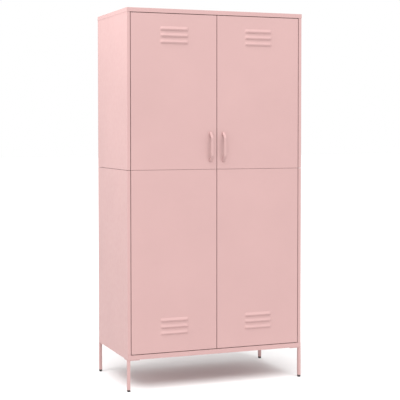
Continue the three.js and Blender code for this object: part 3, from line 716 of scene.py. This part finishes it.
def leg(place, label):
    node = f"{place}_{label}_leg"
    low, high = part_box(node)
    out_x, out_y = SIDES[label], -ENDS[place]
    corner = Vector((high.x if out_x > 0 else low.x, high.y if out_y > 0 else low.y))
    towards = Vector((-out_x, -out_y))
    tube_at = corner + Vector((towards.x * LEG.x, towards.y * LEG.y)) / 2
    plate_at = corner + towards * LEG_PLATE / 2
    stud_at = corner + towards * STUD_INSET
    stud_top = high.z
    plate_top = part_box("bottom_panel")[0].z - FIT
    plate_low = plate_top - LEG_PLATE_THICKNESS

    bm = bmesh.new()
    outside = rounded_rectangle(LEG.x / 2, LEG.y / 2, LEG_CORNER)
    inside = rounded_rectangle(LEG.x / 2 - LEG_WALL, LEG.y / 2 - LEG_WALL, LEG_CORNER / 3)
    loft(
        bm,
        [
            flat_ring(tube_at, outside, low.z),
            flat_ring(tube_at, outside, plate_low + 0.2 * MM),
            flat_ring(tube_at, inside, plate_low + 0.2 * MM),
            flat_ring(tube_at, inside, low.z),
        ],
        loop=True,
    )
    rim = 0.5 * MM
    whole = rounded_rectangle(LEG_PLATE / 2, LEG_PLATE / 2, LEG_PLATE_CORNER)
    eased = rounded_rectangle(LEG_PLATE / 2 - rim, LEG_PLATE / 2 - rim, LEG_PLATE_CORNER - rim)
    loft(
        bm,
        [
            flat_ring(plate_at, eased, plate_low),
            flat_ring(plate_at, whole, plate_low + rim),
            flat_ring(plate_at, whole, plate_top - rim),
            flat_ring(plate_at, eased, plate_top),
        ],
    )
    weld_at = corner + Vector((towards.x * (LEG.x - WELD), towards.y * (LEG.y - WELD))) / 2
    bead = []
    for bulge, rise in ((0, 0), (0.45, 0.2), (0.95, 0.75), (1, 1)):
        grown = Vector((LEG.x - WELD, LEG.y - WELD)) / 2 + Vector((1, 1)) * WELD * bulge
        outline = rounded_rectangle(grown.x, grown.y, LEG_CORNER)
        keep = Vector((corner.x - out_x * grown.x, corner.y - out_y * grown.y))
        at = weld_at.lerp(keep, bulge)
        bead.append(flat_ring(at, outline, plate_low - WELD * (1 - rise)))
    loft(bm, bead)
    stud_start = Vector((*stud_at, plate_top - rim))
    thread = threaded(STUD_RADIUS, stud_top - plate_top + rim)
    turned(bm, stud_start, (0, 0, 1), thread, sides=THREAD_SIDES)
    add_piece(f"{node}_welded", bm, "cabinet", "painted_steel", [node])


def leg_nut(place, label):
    """A flanged hexagon nut: a round flange under a chamfered hexagon."""
    node = f"{place}_{label}_leg_nut"
    low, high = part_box(node)
    centre = (low + high) / 2
    base = Vector((centre.x, centre.y, low.z))
    up = Vector((0, 0, 1))
    bore = STUD_RADIUS + FIT
    height = high.z - low.z
    bm = bmesh.new()
    flange = [(bore, 0), (6.8 * MM, 0), (7 * MM, 0.4 * MM), (6.2 * MM, 1.5 * MM), (bore, 1.6 * MM)]
    turned(bm, base, up, flange, loop=True)
    hexagon = [
        (bore + 0.2 * MM, 1.2 * MM), (5.8 * MM, 1.2 * MM), (5.8 * MM, height - 0.7 * MM),
        (5.1 * MM, height), (bore + 0.2 * MM, height),
    ]
    turned(bm, base, up, hexagon, loop=True, sides=6)
    add_piece(f"{node}_flanged", bm, "cabinet", "zinc_steel", [node])


def glide(place, label):
    node = f"{place}_{label}_glide"
    low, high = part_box(node)
    centre = (low + high) / 2
    leg_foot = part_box(f"{place}_{label}_leg")[0].z
    half_x, half_y = (high.x - low.x) / 2, (high.y - low.y) / 2
    rings = []
    for inset, z in (
        (2.2, 0), (1.2, 0.25), (0.5, 0.8), (0.1, 1.7), (0, 2.6), (0, 8.3), (0.15, 8.9), (0.6, 9.3),
    ):
        outline = rounded_rectangle(half_x - inset * MM, half_y - inset * MM, 2 * MM)
        rings.append(flat_ring(centre, outline, low.z + z * MM))
    neck = rounded_rectangle(LEG.x / 2 - LEG_WALL - FIT, LEG.y / 2 - LEG_WALL - FIT, 0.6 * MM)
    rings.append(flat_ring(centre, neck, leg_foot - 0.6 * MM))
    rings.append(flat_ring(centre, neck, high.z))
    bm = bmesh.new()
    loft(bm, rings)
    add_piece(f"{node}_moulding", bm, "cabinet", "black_plastic", [node])


# ------------------------------------------------------------------ hinges and fasteners


def hinge(label, place):
    up = 1 if place == "bottom" else -1
    pin = f"{label}_hinge_pin_{place}"
    low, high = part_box(pin)
    centre = (low + high) / 2
    start = Vector((centre.x, centre.y, low.z if up > 0 else high.z))
    length = (high.z - low.z) / MM
    profile = [
        (3.6, 0), (4, 0.4), (4, 2.7), (3.7, 3), (2.5, 3), (2.5, length - 1.1),
        (2.2, length - 0.5), (1.3, length),
    ]
    bm = bmesh.new()
    turned(bm, start, (0, 0, up), [(radius * MM, height * MM) for radius, height in profile])
    add_piece(f"{pin}_turned", bm, "cabinet", "zinc_steel", [pin])

    bush = f"{label}_hinge_bush_{place}"
    low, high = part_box(bush)
    start = Vector((centre.x, centre.y, low.z if up > 0 else high.z))
    length = (high.z - low.z) / MM
    profile = [
        (2.9, 0), (5.2, 0), (5.5, 0.3), (5.5, 1.1), (5.3, 1.3), (4, 1.3), (4, length - 0.5),
        (3.6, length), (2.9, length), (2.7, length - 0.3), (2.7, 0.3),
    ]
    bm = bmesh.new()
    rings = [(radius * MM, height * MM) for radius, height in profile]
    turned(bm, start, (0, 0, up), rings, loop=True)
    add_piece(f"{bush}_moulding", bm, f"{label}_door", "black_plastic", [bush])


def screw(node, body, axis, head_radius=4.5 * MM, shank_radius=2.5 * MM):
    """A pan-head screw with a round socket. The axis leads from its head to its tip."""
    low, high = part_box(node)
    centre = (low + high) / 2
    axis = Vector(axis)
    length = abs((high - low).dot(axis))
    start = centre - axis * length / 2
    head = 2.6 * MM
    profile = [
        (1.3 * MM, 1.4 * MM), (1.5 * MM, 0.1 * MM), (2 * MM, 0), (head_radius * 0.75, 0.35 * MM),
        (head_radius * 0.95, 1.1 * MM), (head_radius, 1.9 * MM), (head_radius, head),
    ]
    shank = [(radius, head + run) for radius, run in threaded(shank_radius, length - head)]
    bm = bmesh.new()
    turned(bm, start, axis, profile + shank, sides=THREAD_SIDES)
    add_piece(f"{node}_pan_head", bm, body, "zinc_steel", [node])


def buffer(label):
    node = f"{label}_door_buffer"
    low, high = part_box(node)
    centre = (low + high) / 2
    start = Vector((centre.x, high.y, centre.z))
    radius = (high.x - low.x) / 2
    depth = high.y - low.y
    profile = [
        (radius, 0), (radius, depth * 0.4), (radius * 0.93, depth * 0.75),
        (radius * 0.8, depth * 0.94), (radius * 0.6, depth),
    ]
    bm = bmesh.new()
    turned(bm, start, (0, -1, 0), profile)
    add_piece(f"{node}_dome", bm, "cabinet", "grey_rubber", [node])


# ------------------------------------------------------------------ shelf and clothes rail

SHELF_SIDE_EDGE = 12 * MM
RAIL_WALL = 1.2 * MM
RAIL_SIDES = 64


def shelf():
    low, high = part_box("hat_shelf")
    corners = [(low.y, low.z), (low.y, high.z), (high.y, high.z), (high.y, low.z)]
    folded_strip("hat_shelf", corners, side_edge=SHELF_SIDE_EDGE)


def clothes_rail():
    low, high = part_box("clothes_rail")
    centre = (low + high) / 2
    start = Vector((low.x, centre.y, centre.z))
    radius = (high.z - low.z) / 2
    rim = 0.3 * MM
    length = high.x - low.x
    profile = [
        (radius - rim, 0), (radius, rim), (radius, length - rim), (radius - rim, length),
        (radius - RAIL_WALL, length), (radius - RAIL_WALL, 0),
    ]
    bm = bmesh.new()
    turned(bm, start, (1, 0, 0), profile, loop=True, sides=RAIL_SIDES)
    add_piece("clothes_rail_tube", bm, "cabinet", "chromed_steel", ["clothes_rail"])


# ------------------------------------------------------------------ the object

top_tray()
bottom_tray()
hinge_rail()
for label in SIDES:
    for half in ("upper", "lower"):
        side_panel(label, half)
        door_panel(label, half)
    handle(label)
    buffer(label)
    for place in ("top", "bottom"):
        hinge(label, place)
    for place in ENDS:
        leg(place, label)
        leg_nut(place, label)
        glide(place, label)
        screw(f"{label}_side_screw_{place}", "cabinet", (0, 0, -1))
    for place in ("hinge", "centre"):
        screw(f"{label}_door_screw_{place}", f"{label}_door", (0, 0, -1))
    for place in ("upper", "lower"):
        screw(
            f"{label}_handle_screw_{place}", f"{label}_door", (0, -1, 0), shank_radius=2 * MM
        )
shelf()
clothes_rail()

# CAD pieces whose shape is already right keep it, with their corners joined and the sharp edges
# eased.
EDGE = 0.3 * MM
slots = {part["node"]: part["material_slot"] for part in frame["record"]["subparts"]}
for name, node in frame["nodes"].items():
    for material_slot in node.material_slots:
        material_slot.material = MATERIALS[slots[name]]
    if not node.hide_render:
        weld = node.modifiers.new("joined_corners", "WELD")
        weld.merge_threshold = CLOSE
        bevel = node.modifiers.new("eased_edges", "BEVEL")
        bevel.width = EDGE
        bevel.segments = 2
        bevel.limit_method = "ANGLE"
        bevel.angle_limit = SHARP

# ------------------------------------------------------------------ floor, light and camera


def add_floor():
    mesh = bpy.data.meshes.new("floor")
    reach = 40
    corners = [(-reach, -reach, 0), (reach, -reach, 0), (reach, reach, 0), (-reach, reach, 0)]
    mesh.from_pydata(corners, [], [(0, 1, 2, 3)])
    floor = bpy.data.objects.new("floor", mesh)
    shader = Shader("pale_floor", Roughness=0.9)
    shader.colours(shader.noise(1.5, 3), (0.80, 0.80, 0.80), (0.82, 0.82, 0.82))
    mesh.materials.append(shader.material)
    bpy.context.scene.collection.objects.link(floor)


def add_softbox(name, place, target, size, watts):
    light = bpy.data.lights.new(name, "AREA")
    light.shape = "RECTANGLE"
    light.size, light.size_y = size
    light.energy = watts
    lamp = bpy.data.objects.new(name, light)
    lamp.location = place
    lamp.rotation_euler = (Vector(target) - Vector(place)).to_track_quat("-Z", "Y").to_euler()
    lamp.visible_camera = False
    bpy.context.scene.collection.objects.link(lamp)


def add_overhead_glow():
    """Very soft light from high up in front, even over the whole floor."""
    light = bpy.data.lights.new("overhead", "SUN")
    light.energy = 1.9
    light.angle = math.radians(45)
    lamp = bpy.data.objects.new("overhead", light)
    lamp.rotation_euler = Vector((0.12, 0.5, -0.86)).to_track_quat("-Z", "Y").to_euler()
    bpy.context.scene.collection.objects.link(lamp)


def add_world():
    world = bpy.data.worlds.new("studio")
    world.use_nodes = True
    background = world.node_tree.nodes["Background"]
    background.inputs["Color"].default_value = (1, 1, 1, 1)
    background.inputs["Strength"].default_value = 1.0
    bpy.context.scene.world = world


def add_camera():
    data = bpy.data.cameras.new("camera")
    data.sensor_width = 36
    data.lens = 100.4
    data.shift_x = -0.03
    data.shift_y = -0.07
    camera = bpy.data.objects.new("camera", data)
    camera.location = (-1.986, -5.211, 1.239)
    yaw = math.radians(21.51)
    pitch = math.radians(-2.25)
    camera.rotation_euler = (math.pi / 2 + pitch, 0, -yaw)
    bpy.context.scene.collection.objects.link(camera)
    bpy.context.scene.camera = camera


add_floor()
add_world()
add_overhead_glow()
add_softbox("key", (-1.9, -0.3, 2.7), (-0.45, 0, 1.8), (0.9, 1.4), 36)
add_softbox("fill", (1.2, -3.2, 3.4), (0, 0, 1.4), (1.6, 1.6), 26)
add_camera()
bpy.context.scene.view_settings.view_transform = "Standard"
